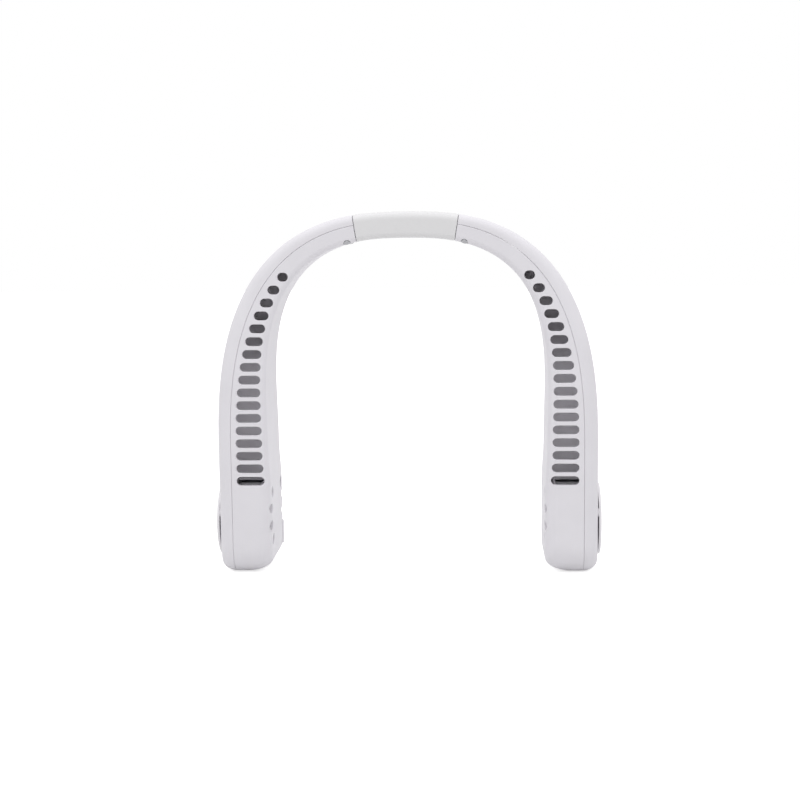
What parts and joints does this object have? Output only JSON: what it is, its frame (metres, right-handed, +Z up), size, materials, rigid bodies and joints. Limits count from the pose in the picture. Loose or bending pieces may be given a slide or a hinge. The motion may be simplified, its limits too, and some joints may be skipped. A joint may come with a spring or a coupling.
{
  "type": "neck fan",
  "caption": "Bladeless-style neck fan: a white U of two hollow arms and a soft neck band, with air slots in the front faces and domed intake discs at the feet.",
  "frame": {"origin": "on the surface that the fan stands on, midway between its two feet", "axes": "+Z up to the neck band, +X towards the viewer's right arm, the air slots face -Y"},
  "size_m": [0.1916, 0.049, 0.1776],
  "materials": {
    "shell_plastic": "satin",
    "disc_plastic": "satin",
    "sleeve_silicone": "matte",
    "button_plastic": "satin",
    "blower_plastic": "matte",
    "impeller_plastic": "satin",
    "spring_steel": "brushed",
    "screw_steel": "satin",
    "shaft_steel": "polished",
    "stator_steel": "satin",
    "magnet_ferrite": "matte",
    "coil_copper": "enamelled",
    "bearing_bronze": "satin",
    "battery_can": "wrapped",
    "lead_jacket": "matte",
    "board_laminate": "satin",
    "switch_plastic": "satin",
    "socket_steel": "satin"
  },
  "bodies": {
    "neck_band": {"neck_sleeve": "sleeve_silicone", "spring_strip": "spring_steel", "band_lead": "lead_jacket"},
    "right_arm": {"right_outer_shell": "shell_plastic", "right_inner_shell": "shell_plastic", "right_intake_disc": "disc_plastic", "right_blower_base": "blower_plastic", "right_blower_cover": "blower_plastic", "right_blower_screws": "screw_steel", "right_motor_stator": "stator_steel", "right_motor_coils": "coil_copper", "right_motor_bearing": "bearing_bronze", "right_duct_wall": "blower_plastic", "right_battery": "battery_can", "right_band_anchor": "blower_plastic", "right_anchor_screws": "screw_steel"},
    "left_arm": {"left_outer_shell": "shell_plastic", "left_inner_shell": "shell_plastic", "left_intake_disc": "disc_plastic", "left_blower_base": "blower_plastic", "left_blower_cover": "blower_plastic", "left_blower_screws": "screw_steel", "left_motor_stator": "stator_steel", "left_motor_coils": "coil_copper", "left_motor_bearing": "bearing_bronze", "left_duct_wall": "blower_plastic", "left_battery": "battery_can", "left_band_anchor": "blower_plastic", "left_anchor_screws": "screw_steel", "left_control_board": "board_laminate", "left_power_switch": "switch_plastic", "left_charging_socket": "socket_steel"},
    "right_rotor": {"right_impeller": "impeller_plastic", "right_rotor_magnet": "magnet_ferrite", "right_motor_shaft": "shaft_steel"},
    "left_rotor": {"left_impeller": "impeller_plastic", "left_rotor_magnet": "magnet_ferrite", "left_motor_shaft": "shaft_steel"},
    "power_button": {"left_power_button": "button_plastic"}
  },
  "joints": [
    {"name": "right_arm_flex", "type": "hinge", "parent": "neck_band", "child": "right_arm", "pos_m": [0.013, 0, 0.1712], "axis": [0, -1, 0], "range_deg": [-3, 12], "stiffness_Nm_per_rad": 2, "deforming": ["neck_sleeve", "spring_strip", "band_lead"]},
    {"name": "left_arm_flex", "type": "hinge", "parent": "neck_band", "child": "left_arm", "pos_m": [-0.013, 0, 0.1712], "axis": [0, 1, 0], "range_deg": [-3, 12], "stiffness_Nm_per_rad": 2, "deforming": ["neck_sleeve", "spring_strip", "band_lead"]},
    {"name": "right_rotor_spin", "type": "hinge", "parent": "right_arm", "child": "right_rotor", "pos_m": [0.0794, 0, 0.027], "axis": [1, 0, 0], "continuous": true},
    {"name": "left_rotor_spin", "type": "hinge", "parent": "left_arm", "child": "left_rotor", "pos_m": [-0.0794, 0, 0.027], "axis": [1, 0, 0], "continuous": true},
    {"name": "power_button_press", "type": "slide", "parent": "left_arm", "child": "power_button", "axis": [-1, 0, 0], "range_m": [0, 0.0004], "stiffness_N_per_m": 800, "springref_m": -0.0015}
  ]
}
